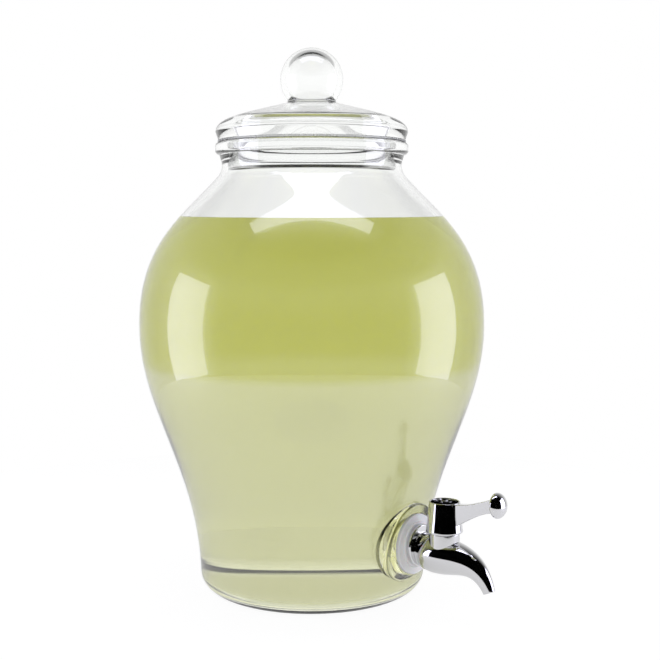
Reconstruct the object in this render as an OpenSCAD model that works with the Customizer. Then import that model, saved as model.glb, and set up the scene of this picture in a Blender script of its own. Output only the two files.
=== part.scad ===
// Glass dispenser jar for liquid detergent, with a knobbed glass lid and a quarter-turn tap.
// Origin: centre of the jar's flat base. +Z is up, and the tap points along -Y.

/* [Jar] */
// Radius of the jar at its widest
belly_r = 110; // [100:1:120]
// Height of the widest ring
belly_z = 170; // [160:1:180]
// How far the belly stays full above its widest ring
belly_full_up = 53.7; // [40:0.1:65]
// How far the belly stays full below its widest ring
belly_full_down = 53.4; // [40:0.1:65]
// How much wider the shoulder is than the neck where it starts to turn up into it
neck_flare = 3; // [1:0.1:6]
// Height where the shoulder starts to turn up into the neck
shoulder_z = 264.4; // [255:0.1:275]
// Lean of the shoulder from the vertical, in degrees
shoulder_lean = 41.3; // [30:0.1:50]
// How far the shoulder stays straight below the neck
shoulder_pull = 31.8; // [20:0.1:40]
// Outer radius of the neck
neck_r = 57; // [50:0.1:66]
// Straight height of the neck below the rim
neck_h = 5.9; // [3:0.1:20]
// How far the rim bead stands out from the neck
rim_out = 4.2; // [3:0.1:8]
// Height of the rim bead
rim_h = 7.7; // [6:0.1:12]
// Rounding of the rim bead
rim_round = 2.6; // [1:0.1:2.8]
// Radius of the foot, just above the base corner
foot_r = 72.6; // [66:0.1:80]
// Lean of the wall at the foot from the vertical, in degrees
foot_lean = 2.4; // [0:0.1:8]
// How far the foot stays upright
foot_pull = 69.8; // [40:0.1:80]
// Rounding of the base corner
base_round = 12; // [6:0.1:16]
// Thickness of the glass wall
wall = 3.4; // [2.6:0.1:4.5]
// Thickness of the glass base
base_t = 3.6; // [3:0.1:12]
// Rounding inside the base corner
base_inner_round = 8.6; // [4:0.1:12]

/* [Detergent] */
// Height of the liquid's surface
fill_z = 237.3; // [120:0.1:250]

/* [Lid] */
// How far the lid's edge stays in from the rim bead's
lid_set_in = 0.3; // [0:0.1:2]
// Height from the lid's seat to its widest ring
lid_edge_h = 4.8; // [3:0.1:8]
// Rise of the dome from the widest ring to the knob
dome_rise = 18.4; // [14:0.1:30]
// Slope of the dome at the knob, in degrees
dome_slope = 13.5; // [5:0.1:20]
// How far the dome runs straight from the knob
dome_pull = 35.8; // [20:0.1:40]
// How far the lid's edge stays upright
dome_edge_pull = 7.2; // [3:0.1:10]
// Thickness of the dome
dome_t = 4.2; // [3:0.1:6]
// Thickness of the skirt that hangs into the neck
skirt_t = 2.8; // [2:0.1:4]
// Depth of the skirt below the lid's seat
skirt_h = 19.6; // [10:0.1:24]
// Gap between the skirt and the neck
skirt_gap = 0.4; // [0.3:0.05:1]
// Radius of the ball knob
knob_r = 19.9; // [15:0.1:24]
// Radius of the neck under the knob
knob_neck_r = 15.3; // [11:0.1:16]
// Radius where the knob's foot meets the dome
knob_foot_r = 17; // [16.5:0.1:22]
// Height of the knob's foot
knob_foot_h = 1.4; // [1:0.1:4]
// Height of the collar between the foot and the ball
knob_collar_h = 0.6; // [0.4:0.1:5]
// Thickness of the hollow knob
knob_t = 3.7; // [3:0.1:5]

/* [Lid gasket] */
// Thickness of the gasket
gasket_t = 1.5; // [1:0.1:3]
// How far the gasket's edge stays in from the rim bead's
gasket_set_in = 1.6; // [1:0.1:2.4]

/* [Tap hole and boss] */
// Height of the tap's axis above the base
tap_z = 41; // [36:0.5:60]
// How far the outer washer's seat stands out from the middle of the boss face
seat_out = 1.7; // [0.5:0.1:4]
// Radius of the ground seat
seat_r = 19.4; // [18.8:0.1:22]
// How far the middle of the boss face stands out from the wall
boss_out = 4.5; // [3:0.1:8]
// Radius of the boss
boss_r = 24.6; // [23:0.1:28]
// Lean of the boss face, in degrees
boss_lean = 9; // [5:0.5:12]
// Rounding of the boss edge
boss_round = 1.2; // [0.5:0.1:2]
// How far the inner washer's seat stands in from the inside of the wall
pad_in = 3.1; // [2:0.1:6]
// Radius of the inner pad
pad_r = 16; // [15:0.1:18]
// Radius of the hole through the glass
hole_r = 8.3; // [8.1:0.1:9]

/* [Washers and nut] */
// Radius of the outer washer
washer_r = 18.4; // [16:0.1:18.6]
// Thickness of the outer washer's flange
washer_t = 2.3; // [1.5:0.1:3]
// Radius of the outer washer's raised step
washer_step_r = 14; // [13:0.1:15]
// Thickness of the outer washer's raised step
washer_step_t = 1.3; // [0.8:0.1:2]
// Radius of the inner washer
inner_washer_r = 14; // [12:0.1:14.8]
// Thickness of the inner washer
inner_washer_t = 2.5; // [1.5:0.1:3]
// Width of the backing nut across its flats
nut_flats = 22; // [20:0.5:24]
// Radius of the backing nut's flange
nut_flange_r = 13.6; // [12.5:0.1:14]
// Thickness of the backing nut's flange
nut_flange_t = 1.8; // [1.2:0.1:3]
// Height of the backing nut's hexagon
nut_hex_t = 4.7; // [4:0.1:8]

/* [Tap body] */
// Radius of the threaded shank
shank_r = 7.9; // [7.5:0.1:8]
// How far the shank stands out of the nut
shank_proud = 2.8; // [1:0.1:6]
// Radius of the waterway in the shank
inlet_r = 4; // [3:0.1:4.5]
// Radius of the collar against the washer
collar_r = 12.7; // [11:0.1:13.5]
// Thickness of the collar
collar_t = 3; // [2:0.1:4]
// Radius of the barrel between the collar and the valve
barrel_r = 7.6; // [7:0.1:8.5]
// Distance from the washer's face to the valve's axis
valve_reach = 18.7; // [17:0.1:22]
// Radius of the valve socket
socket_r = 9.25; // [8.8:0.05:10]
// Height of the socket's top above the tap's axis
socket_top = 10.9; // [10:0.1:12]
// Distance of the outlet in front of the valve's axis
outlet_reach = 31.9; // [28:0.1:36]
// Drop of the outlet below the tap's axis
outlet_drop = 19.7; // [17:0.1:22]
// Radius of the spout where it leaves the collar
spout_root_r = 8.9; // [7.8:0.1:10]
// Fullness of the spout under the valve
spout_full_r = 15.2; // [13.5:0.1:17]
// Fullness of the spout ahead of its end
spout_slim_r = 6.7; // [5:0.1:8]
// Radius of the spout's end
outlet_r = 3.6; // [3.2:0.05:4.5]
// How far the spout starts below the tap's axis
spout_start_drop = 1.6; // [0:0.1:3]
// Pull of the spout's middle line down under the valve
spout_dip = 6.2; // [4:0.1:8]
// Pull of the spout's middle line up ahead of its end
spout_rise = 6.6; // [4:0.1:9]
// Radius of the waterway in the spout
spout_bore_r = 2.3; // [1.8:0.1:2.6]

/* [Valve] */
// Radius of the bore that holds the plug
bore_r = 6.5; // [6:0.1:6.8]
// Radial clearance of the plug and of its stem
run_gap = 0.05; // [0.02:0.01:0.1]
// Depth of the bore below the tap's axis
bore_depth = 7; // [6:0.1:8]
// Radius of the cross hole in the plug
port_r = 3; // [2.4:0.1:3.2]
// Radius of the plug's stem
stem_r = 4; // [3.4:0.1:4.4]
// Thickness of an O-ring's cord
oring_t = 1.7; // [1.2:0.1:1.8]
// Height of the O-ring grooves above and below the tap's axis
oring_z = 4.7; // [4.3:0.1:5]
// Height of the threaded ring that holds the plug down
ring_h = 3.3; // [2.5:0.1:3.6]
// Small gap that lets one piece slide or turn past another
slip_gap = 0.15; // [0.1:0.05:0.3]

/* [Handle] */
// Gap under the handle
handle_gap = 0.4; // [0.3:0.1:1]
// Height of the handle's hub
hub_h = 18.4; // [16:0.1:24]
// Radius of the hub at its bottom
hub_low_r = 11.1; // [10.5:0.1:13]
// Radius of the hub at its top
hub_top_r = 9.3; // [8.5:0.1:11]
// Thickness of the hub's rim
hub_rim_t = 1; // [0.8:0.1:2]
// Depth of the cup in the hub's top
cup_depth = 10.7; // [6:0.1:12]
// Length of the plug's stem inside the hub
stem_grip = 4.9; // [3:0.1:5.5]
// Thickness of the lever
lever_t = 5.4; // [4:0.1:8]
// Reach of the lever from the valve's axis to its button
lever_reach = 35.4; // [28:0.1:45]
// Rise of the lever's end above the hub's bottom
lever_rise = 21.2; // [18:0.1:26]
// How far the lever's top starts below the hub's top
lever_set_down = 0.4; // [0.2:0.1:3]
// Height of the lever where it leaves the hub
lever_root_h = 12.4; // [9:0.1:14]
// Height of the lever where it meets the button
lever_end_h = 8.4; // [6:0.1:11]
// Tilt of the button, in degrees
button_tilt = 7; // [0:1:15]
// Radius of the button
button_r = 7.5; // [6:0.1:9]
// Thickness of the button
button_t = 4.8; // [3:0.1:7]
// Radius of the screw's head
screw_head_r = 3.6; // [3:0.1:4]
// Height of the screw's head
screw_head_h = 2.4; // [1.5:0.1:3]
// Radius of the screw's thread
screw_r = 2; // [1.5:0.1:2.2]
// Length of the screw's thread
screw_l = 9; // [7:0.5:10]

/* [Hidden] */
$fn = 96;

// Steps along each curve of a profile
curve_n = 20;
// Steps along each small arc of a profile
arc_n = 8;
// Gap between the liquid and whatever holds it
fill_gap = 0.1;
// A length that carries a cut clear of a face
over = 1;

// Neck bend: an arc that turns the leaning shoulder upright
shoulder_r = neck_r + neck_flare;
bend_r = neck_flare / (1 - cos(shoulder_lean));
bend_top_z = shoulder_z + bend_r * sin(shoulder_lean);
rim_z = bend_top_z + neck_h;
seat_z = rim_z + rim_h;
neck_in_r = neck_r - wall;
rim_r = neck_r + rim_out;
rim_edge = 1;

// Lid stations, from the gasket up
lid_r = rim_r - lid_set_in;
gasket_r = rim_r - gasket_set_in;
lid_seat_z = seat_z + gasket_t;
lid_edge_z = lid_seat_z + lid_edge_h;
dome_top_z = lid_edge_z + dome_rise;
skirt_r = neck_in_r - skirt_gap;
skirt_in_r = skirt_r - skirt_t;
knob_collar_z = dome_top_z + knob_foot_h;
knob_z = knob_collar_z + knob_collar_h + sqrt(pow(knob_r, 2) - pow(knob_neck_r, 2));
lid_under_r = gasket_r - 0.3;

// Point on a cubic curve with handles p, at share t of its length
function cubic(p, t) =
    pow(1 - t, 3) * p[0] + 3 * pow(1 - t, 2) * t * p[1] + 3 * (1 - t) * t * t * p[2] + t * t * t * p[3];
// Rate of change of a cubic curve at share t
function cubic_rate(p, t) =
    3 * pow(1 - t, 2) * (p[1] - p[0]) + 6 * (1 - t) * t * (p[2] - p[1]) + 3 * t * t * (p[3] - p[2]);
// Points along a cubic curve, leaving out its first
function curve(p) = [for (i = [1:curve_n]) cubic(p, i / curve_n)];
// Points along an arc about c, from angle a to angle b
function arc(c, r, a, b) =
    [for (i = [0:arc_n]) let (g = a + (b - a) * i / arc_n) c + r * [cos(g), sin(g)]];
// A line of points moved sideways by d, to the left of its direction
function moved(line, d) =
    [for (i = [0:len(line) - 1])
        let (go = line[min(i + 1, len(line) - 1)] - line[max(i - 1, 0)])
        line[i] + d * [-go[1], go[0]] / norm(go)];

// Outer line of the wall, from the base corner up to the top of the neck bend
foot = [foot_r, base_round];
belly = [belly_r, belly_z];
shoulder = [shoulder_r, shoulder_z];
wall_line = concat(
    [foot],
    curve([foot, foot + foot_pull * [sin(foot_lean), cos(foot_lean)],
           belly - [0, belly_full_down], belly]),
    curve([belly, belly + [0, belly_full_up],
           shoulder + shoulder_pull * [sin(shoulder_lean), -cos(shoulder_lean)], shoulder]),
    [for (i = [1:arc_n]) let (g = shoulder_lean * (1 - i / arc_n))
        [neck_r + bend_r * (1 - cos(g)), bend_top_z - bend_r * sin(g)]]);

// Tap stations along its axis, measured out from the jar's axis
wall_x = lookup(tap_z, [for (p = wall_line) [p[1], p[0]]]);
boss_x = wall_x + boss_out;
seat_x = boss_x + seat_out;
pad_x = wall_x - wall - pad_in;
step_x = seat_x + washer_t;
collar_x = step_x + washer_step_t;
barrel_x = collar_x + collar_t;
valve_x = collar_x + valve_reach;
outlet_x = valve_x + outlet_reach;
nut_x = pad_x - inner_washer_t;
hex_x = nut_x - nut_flange_t;
shank_end_x = hex_x - nut_hex_t - shank_proud;
hex_r = nut_flats / 2 / cos(30);
thread_gap = 0.1;

// Valve stations above the base
socket_z = tap_z + socket_top;
bore_z = tap_z - bore_depth;
ring_z = socket_z - ring_h - slip_gap;
plug_z = bore_z + slip_gap;
plug_top_z = ring_z - slip_gap;
plug_r = bore_r - run_gap;
groove_t = oring_t + 2 * slip_gap;
groove_r = plug_r - oring_t - run_gap;
oring_r = plug_r - oring_t / 2;
hub_z = socket_z + handle_gap;
hub_top_z = hub_z + hub_h;
cup_z = hub_top_z - cup_depth;
stem_top_z = hub_z + stem_grip;
button_x = valve_x + lever_reach;
button_z = hub_z + lever_rise;
pin_r = 1.8;
pin_l = 6;

// The spout's centre line and radius are cubic curves; each list holds one curve's four handles.
// The middle handles keep their place between the barrel and the outlet.
spout_start_x = barrel_x + 0.4;
spout_start_z = tap_z - spout_start_drop;
outlet_z = tap_z - outlet_drop;
function between(a, b, share) = a + (b - a) * share;
spout_xs = [spout_start_x, between(spout_start_x, outlet_x, 0.27),
            between(spout_start_x, outlet_x, 0.795), outlet_x];
spout_zs = [spout_start_z, spout_start_z - spout_dip, spout_start_z + spout_rise, outlet_z];
spout_rs = [spout_root_r, spout_full_r, spout_slim_r, outlet_r];
spout_n = 26;
spout_sides = 24;
// Share of the curve's length that the spout runs back into the collar
spout_back = -0.16;

// Turns a line of points into the other direction
function reversed(line) = [for (i = [len(line) - 1:-1:0]) line[i]];

// Inner line of a vessel whose wall is t thick and whose floor is at height z, from the neck down
function inner_line(t, z, corner) = concat(
    [for (p = reversed(moved(wall_line, t))) if (p[1] > z + corner) p],
    arc([foot_r - t - corner, z + corner], corner, 0, -90));

// Places a piece of the tap: x runs out from the jar's axis
module on_tap_side() {
    rotate([0, 0, -90]) children();
}

// A round bar along the tap's axis, between two distances from the jar's axis
module bar(r, from, to) {
    translate([from, 0, tap_z]) rotate([0, 90, 0]) cylinder(h = to - from, r = r);
}

// A round plate along the tap's axis with its outer edge rounded
module plate(r, from, to, edge) {
    translate([from, 0, tap_z]) rotate([0, 90, 0]) rounded_disc(r, to - from, edge);
}

// A disc of height h whose top edge is rounded
module rounded_disc(r, h, edge) {
    rotate_extrude() polygon(concat([[0, 0], [r, 0]],
        arc([r - edge, h - edge], edge, 0, 90), [[0, h]]));
}

module jar() {
    color([0.86, 0.9, 0.88, 0.4]) difference() {
        union() {
            rotate_extrude() polygon(concat(
                [[0, 0]],
                arc([foot_r - base_round, base_round], base_round, -90, 0),
                wall_line,
                arc([rim_r - rim_round, rim_z + rim_round], rim_round, -90, 0),
                arc([rim_r - rim_round, seat_z - rim_round], rim_round, 0, 90),
                [[0, seat_z]]));
            on_tap_side() {
                translate([boss_x, 0, tap_z]) rotate([0, 90 + boss_lean, 0])
                    translate([0, 0, -wall - boss_r / 2])
                        rounded_disc(boss_r, wall + boss_r / 2, boss_round);
                bar(seat_r, pad_x, seat_x);
            }
        }
        difference() {
            rotate_extrude() polygon(concat(
                [[0, seat_z + over], [neck_in_r + rim_edge, seat_z + over]],
                arc([neck_in_r + rim_edge, seat_z - rim_edge], rim_edge, 90, 180),
                inner_line(wall, base_t, base_inner_round),
                [[0, base_t]]));
            on_tap_side() bar(pad_r, pad_x, seat_x);
        }
        on_tap_side() {
            bar(hole_r, pad_x - over, seat_x + over);
            bar(seat_r, seat_x, seat_x + boss_r);
        }
    }
}

// The liquid, with room left for the tap's tail
module detergent_fill() {
    color([0.72, 0.74, 0.35, 0.7]) difference() {
        intersection() {
            rotate_extrude() polygon(concat(
                [[0, seat_z]],
                inner_line(wall + fill_gap, base_t + fill_gap, base_inner_round),
                [[0, base_t + fill_gap]]));
            cylinder(h = fill_z, r = belly_r);
        }
        on_tap_side() {
            bar(pad_r + fill_gap, pad_x - fill_gap, belly_r);
            bar(max(inner_washer_r, nut_flange_r, hex_r) + fill_gap,
                hex_x - nut_hex_t - fill_gap, pad_x);
            bar(shank_r + fill_gap, shank_end_x - fill_gap, pad_x);
        }
    }
}

// Half outline of the ball on its neck, from height z up
module knob_outline(ball_r, throat_r, z) {
    intersection() {
        union() {
            translate([0, knob_z]) circle(r = ball_r);
            translate([0, z]) square([throat_r, knob_z - z]);
        }
        translate([0, z]) square([ball_r + over, knob_z + ball_r]);
    }
}

module lid() {
    under_dome = [[skirt_in_r, lid_edge_z], [skirt_in_r, lid_edge_z + dome_edge_pull],
                  [knob_foot_r + dome_pull * cos(dome_slope),
                   dome_top_z - dome_t + dome_pull * -sin(dome_slope)],
                  [knob_foot_r, dome_top_z - dome_t]];
    color([0.86, 0.9, 0.88, 0.4]) {
        rotate_extrude() difference() {
            polygon(concat(
                [[0, lid_seat_z - skirt_h]],
                arc([skirt_r - skirt_t / 2, lid_seat_z - skirt_h + skirt_t / 2], skirt_t / 2, -90, 0),
                [[skirt_r, lid_seat_z], [lid_under_r, lid_seat_z], [lid_r, lid_edge_z]],
                curve([[lid_r, lid_edge_z], [lid_r, lid_edge_z + dome_edge_pull],
                       [knob_foot_r + dome_pull * cos(dome_slope),
                        dome_top_z - dome_pull * sin(dome_slope)],
                       [knob_foot_r, dome_top_z]]),
                [for (i = [1:arc_n]) let (g = 90 * i / arc_n)
                    [knob_foot_r - (knob_foot_r - knob_neck_r) * sin(g),
                     knob_collar_z - knob_foot_h * cos(g)]],
                [[0, knob_collar_z]]));
            polygon(concat(
                [[0, lid_seat_z - skirt_h - over], [skirt_in_r, lid_seat_z - skirt_h - over],
                 [skirt_in_r, lid_edge_z]],
                curve(under_dome),
                [[0, dome_top_z - dome_t]]));
            knob_outline(knob_r - knob_t, knob_neck_r - knob_t, dome_top_z - dome_t - over);
        }
        rotate_extrude() difference() {
            knob_outline(knob_r, knob_neck_r, knob_collar_z - over);
            knob_outline(knob_r - knob_t, knob_neck_r - knob_t, knob_collar_z - 2 * over);
        }
    }
}

module lid_gasket() {
    color([0.93, 0.94, 0.93, 0.6]) translate([0, 0, seat_z]) difference() {
        cylinder(h = gasket_t, r = gasket_r);
        translate([0, 0, -over]) cylinder(h = gasket_t + 2 * over, r = skirt_r + slip_gap);
    }
}

module outer_washer() {
    color("white") on_tap_side() difference() {
        union() {
            plate(washer_r, seat_x, step_x, washer_t / 3);
            plate(washer_step_r, step_x, collar_x, washer_step_t / 2);
        }
        bar(shank_r + slip_gap, seat_x - over, collar_x + over);
    }
}

module inner_washer() {
    color("white") on_tap_side() difference() {
        bar(inner_washer_r, nut_x, pad_x);
        bar(shank_r + slip_gap, nut_x - over, pad_x + over);
    }
}

module backing_nut() {
    color([0.93, 0.94, 0.93]) on_tap_side() difference() {
        union() {
            bar(nut_flange_r, hex_x, nut_x);
            translate([hex_x - nut_hex_t, 0, tap_z]) rotate([0, 90, 0])
                cylinder(h = nut_hex_t + nut_flange_t / 2, r = hex_r, $fn = 6);
        }
        bar(shank_r + thread_gap, hex_x - nut_hex_t - over, nut_x + over);
    }
}

// One ring of points of a tube that follows the spout's centre line, at share t of its length
function spout_ring(t, r) =
    let (c = [cubic(spout_xs, t), 0, cubic(spout_zs, t)],
         go = [cubic_rate(spout_xs, t), 0, cubic_rate(spout_zs, t)],
         up = [-go[2], 0, go[0]] / norm(go))
    [for (i = [0:spout_sides - 1]) let (g = 360 * i / spout_sides)
        c + r * (cos(g) * up + sin(g) * [0, 1, 0])];

// A closed tube with flat ends through a list of rings
module tube(rings) {
    n = len(rings[0]);
    last = (len(rings) - 1) * n;
    polyhedron(
        points = [for (ring = rings) for (p = ring) p],
        faces = concat(
            [[for (i = [n - 1:-1:0]) i]],
            [[for (i = [0:n - 1]) last + i]],
            [for (k = [0:len(rings) - 2]) for (i = [0:n - 1])
                let (a = k * n + i, b = k * n + (i + 1) % n) [a, b, b + n, a + n]]),
        convexity = 4);
}

module spout() {
    difference() {
        tube([for (i = [0:spout_n]) let (t = between(spout_back, 1, i / spout_n))
            spout_ring(t, cubic(spout_rs, t))]);
        // Back end, cut off inside the collar
        translate([-belly_r, -belly_r, 0])
            cube([belly_r + collar_x + collar_t / 2, 2 * belly_r, belly_z]);
    }
}

// Waterway from the valve to the outlet
module spout_waterway() {
    first = 0.4;
    tube([for (i = [0:spout_n]) spout_ring(between(first, 1.02, i / spout_n), spout_bore_r)]);
}

module tap_body() {
    color("silver") on_tap_side() difference() {
        union() {
            bar(shank_r, shank_end_x, collar_x + collar_t / 2);
            plate(collar_r, collar_x, barrel_x, collar_t / 5);
            bar(barrel_r, collar_x + collar_t / 2, valve_x);
            spout();
            translate([valve_x, 0, tap_z - bore_r / 2])
                cylinder(h = socket_z - tap_z + bore_r / 2, r = socket_r);
        }
        bar(inlet_r, shank_end_x - over, valve_x);
        translate([valve_x, 0, bore_z]) cylinder(h = socket_z - bore_z + over, r = bore_r);
        spout_waterway();
    }
}

module valve_plug() {
    color("gold") on_tap_side() difference() {
        union() {
            translate([valve_x, 0, plug_z]) cylinder(h = plug_top_z - plug_z, r = plug_r);
            translate([valve_x, 0, plug_z]) cylinder(h = stem_top_z - plug_z, r = stem_r);
        }
        for (side = [-1, 1]) translate([valve_x, 0, tap_z + side * oring_z - groove_t / 2])
            difference() {
                cylinder(h = groove_t, r = plug_r + over);
                translate([0, 0, -over]) cylinder(h = groove_t + 2 * over, r = groove_r);
            }
        // Cross hole, closed at rest because it lies across the tap
        translate([valve_x, plug_r + over, tap_z]) rotate([90, 0, 0])
            cylinder(h = 2 * (plug_r + over), r = port_r);
        translate([valve_x, 0, cup_z - screw_l - slip_gap])
            cylinder(h = screw_l + over, r = screw_r + slip_gap);
    }
}

// An O-ring in its groove, at a height above or below the tap's axis
module oring(side) {
    color("dimgray") on_tap_side() translate([valve_x, 0, tap_z + side * oring_z])
        rotate_extrude() translate([oring_r, 0]) circle(d = oring_t, $fn = 32);
}

module upper_oring() {
    oring(1);
}

module lower_oring() {
    oring(-1);
}

module retaining_ring() {
    color("silver") on_tap_side() translate([valve_x, 0, ring_z]) difference() {
        cylinder(h = ring_h, r = bore_r - thread_gap);
        translate([0, 0, -over]) cylinder(h = ring_h + 2 * over, r = stem_r + run_gap);
    }
}

// Side outline of the lever: a top and a bottom curve from the hub to the button
module lever_outline() {
    end_top = button_z + lever_end_h / 2;
    end_low = button_z - lever_end_h / 2;
    root_top = hub_top_z - lever_set_down;
    root_low = root_top - lever_root_h;
    root_x = valve_x + (hub_low_r + hub_top_r) / 2 - 1;
    reach = button_x - root_x;
    polygon(concat(
        [[valve_x, root_low - 2], [root_x, root_low - 1]],
        curve([[root_x, root_low - 1], [root_x + reach * 0.3, root_low + 4],
               [button_x - reach * 0.3, end_low - 1], [button_x, end_low]]),
        [[button_x, end_top]],
        curve([[button_x, end_top], [button_x - reach * 0.3, end_top - 3],
               [root_x + reach * 0.3, root_top], [root_x, root_top]]),
        [[valve_x, root_top]]));
}

module tap_handle() {
    color("silver") on_tap_side() difference() {
        union() {
            translate([valve_x, 0, hub_z]) cylinder(h = hub_h, r1 = hub_low_r, r2 = hub_top_r);
            translate([0, lever_t / 2, 0]) rotate([90, 0, 0])
                linear_extrude(height = lever_t) lever_outline();
        }
        translate([valve_x, 0, cup_z]) cylinder(h = cup_depth + over, r = hub_top_r - hub_rim_t);
        translate([valve_x, 0, hub_z - over]) cylinder(h = stem_grip + over, r = stem_r + run_gap);
        translate([valve_x, 0, hub_z]) cylinder(h = hub_h, r = screw_r + slip_gap);
        translate([button_x, 0, button_z]) rotate([0, -90 - button_tilt, 0])
            translate([0, 0, -over]) cylinder(h = pin_l + over, r = pin_r + thread_gap);
        // End face that leans with the button
        translate([button_x, 0, button_z]) rotate([0, 90 - button_tilt, 0])
            cylinder(h = button_r, r = 2 * button_r);
    }
}

module lever_button() {
    color("silver") on_tap_side() translate([button_x, 0, button_z])
        rotate([0, 90 - button_tilt, 0]) {
            rounded_disc(button_r, button_t, button_t / 2);
            translate([0, 0, -pin_l + slip_gap]) cylinder(h = pin_l, r = pin_r);
        }
}

module handle_screw() {
    color("silver") on_tap_side() translate([valve_x, 0, cup_z]) difference() {
        union() {
            translate([0, 0, -screw_l]) cylinder(h = screw_l + screw_head_h / 2, r = screw_r);
            rounded_disc(screw_head_r, screw_head_h, screw_head_h / 3);
        }
        translate([0, 0, screw_head_h / 2]) for (turn = [0, 90]) rotate([0, 0, turn])
            translate([-screw_head_r * 0.6, -0.5, 0]) cube([screw_head_r * 1.2, 1, screw_head_h]);
    }
}

jar();
detergent_fill();
lid();
lid_gasket();
outer_washer();
inner_washer();
backing_nut();
tap_body();
valve_plug();
upper_oring();
lower_oring();
retaining_ring();
tap_handle();
lever_button();
handle_screw();
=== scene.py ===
import math

import bmesh
import bpy
from mathutils import Matrix, Vector


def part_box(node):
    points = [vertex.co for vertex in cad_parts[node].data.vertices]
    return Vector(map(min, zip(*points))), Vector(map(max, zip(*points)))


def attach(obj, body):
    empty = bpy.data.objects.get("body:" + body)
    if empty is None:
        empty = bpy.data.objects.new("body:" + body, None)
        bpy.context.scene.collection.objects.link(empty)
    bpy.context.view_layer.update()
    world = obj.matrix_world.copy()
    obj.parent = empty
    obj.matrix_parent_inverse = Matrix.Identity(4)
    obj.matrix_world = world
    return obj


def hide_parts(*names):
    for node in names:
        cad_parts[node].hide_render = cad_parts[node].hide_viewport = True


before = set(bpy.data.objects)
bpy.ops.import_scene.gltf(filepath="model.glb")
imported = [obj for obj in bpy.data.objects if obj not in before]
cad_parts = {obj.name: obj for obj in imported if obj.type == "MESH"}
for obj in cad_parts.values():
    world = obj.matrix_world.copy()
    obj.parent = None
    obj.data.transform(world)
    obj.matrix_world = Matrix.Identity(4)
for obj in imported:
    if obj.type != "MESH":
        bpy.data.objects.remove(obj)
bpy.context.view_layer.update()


# ---------------------------------------------------------------- Jar
# The jar is clear soda-lime glass, blown in a mould and fire-polished at the rim. A round boss is
# pressed low on one side, ground flat inside and out, and drilled for the tap.

# Lengths are in millimetres, and each mesh is brought to metres as it is made.
MM = 0.001
belly_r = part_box("jar")[1].x / MM
belly_z = 170
foot_r = 72.6
shoulder_z = 264.4
neck_r = 57
neck_flare = 3
neck_h = 5.9
wall = 3.4

# Leans of the wall, and how far each end of its two curves pulls along its own direction
foot_lean = math.radians(2.4)
foot_pull = 69.8
belly_full_down = 53.4
belly_full_up = 53.7
shoulder_lean = math.radians(41.3)
shoulder_pull = 31.8

# Base, hollowed underneath along a curve whose handles stand at two shares of its radius
base_t = 3.6
base_round = 12
base_inner_round = 3
base_kick = 0.8
kick_in = 0.6
kick_out = 0.8

rim_out = 4.2
rim_h = 7.7
rim_round = 2.6
rim_edge = 1.0

# Boss, its ground seats outside and inside, and the hole
tap_z = 41
boss_out = 4.5
boss_r = 24.6
boss_lean = math.radians(9)
boss_round = 1.2
seat_r = 19.4
seat_out = 1.7
seat_flare = 1.6
seat_flare_depth = 2.6
pad_in = 3.1
pad_r = 16
hole_r = 8.3
cut_past = 1
hair = 0.01

# Places that follow from these sizes, and how finely curves are stepped
shoulder_r = neck_r + neck_flare
bend_r = neck_flare / (1 - math.cos(shoulder_lean))
bend_top_z = shoulder_z + bend_r * math.sin(shoulder_lean)
rim_z = bend_top_z + neck_h
seat_z = rim_z + rim_h
rim_r = neck_r + rim_out
neck_in_r = neck_r - wall
curve_steps = 48
arc_steps = 12
round_sides = 192
tap_sides = 128
tiny = 1e-6


def cubic(handles, share):
    """The value of a cubic curve with four handles, at this share of its length."""
    a, b, c, d = handles
    rest = 1 - share
    return a * rest ** 3 + 3 * b * rest ** 2 * share + 3 * c * rest * share ** 2 + d * share ** 3


def curve(handles, steps=curve_steps):
    """Points along a cubic curve of (radius, height) handles, without its first point."""
    handles = [Vector(handle) for handle in handles]
    return [cubic(handles, step / steps) for step in range(1, steps + 1)]


def arc(centre, radius, start, end, steps=arc_steps):
    """Points along an arc, from one angle in degrees to another."""
    turns = [math.radians(start + (end - start) * step / steps) for step in range(steps + 1)]
    return [Vector(centre) + radius * Vector((math.cos(turn), math.sin(turn))) for turn in turns]


def moved(line, distance):
    """A line of points moved sideways, to the left of its direction."""
    out = []
    for index, point in enumerate(line):
        go = line[min(index + 1, len(line) - 1)] - line[max(index - 1, 0)]
        out.append(point + distance * Vector((-go.y, go.x)).normalized())
    return out


def turned(name, outline, place=Matrix(), sides=round_sides, ring=False):
    """An object turned round an axis from (radius, height) points. A ring's ends are joined."""
    shape = bmesh.new()
    rows = []
    for radius, height in outline:
        count = 1 if radius < tiny else sides
        turns = [2 * math.pi * side / count for side in range(count)]
        corners = [(radius * math.cos(turn), radius * math.sin(turn), height) for turn in turns]
        rows.append([shape.verts.new(Vector(corner)) for corner in corners])
    pairs = list(zip(rows, rows[1:])) + ([(rows[-1], rows[0])] if ring else [])
    for lower, upper in pairs:
        for side in range(sides):
            after = (side + 1) % sides
            corners = list(dict.fromkeys([lower[side % len(lower)], lower[after % len(lower)],
                                          upper[after % len(upper)], upper[side % len(upper)]]))
            if len(corners) > 2:
                shape.faces.new(corners)
    bmesh.ops.transform(shape, matrix=Matrix.Scale(MM, 4) @ place, verts=shape.verts)
    bmesh.ops.recalc_face_normals(shape, faces=shape.faces)
    return new_piece(name, shape)


def new_piece(name, shape):
    """Puts a finished shape in the scene as an object at the origin."""
    mesh = bpy.data.meshes.new(name)
    shape.to_mesh(mesh)
    shape.free()
    mesh.shade_smooth()
    piece = bpy.data.objects.new(name, mesh)
    bpy.context.scene.collection.objects.link(piece)
    return piece


def settled(piece):
    """Makes an object's modifiers part of its mesh."""
    now = piece.evaluated_get(bpy.context.evaluated_depsgraph_get())
    mesh = bpy.data.meshes.new_from_object(now)
    piece.modifiers.clear()
    piece.data = mesh
    return piece


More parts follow.
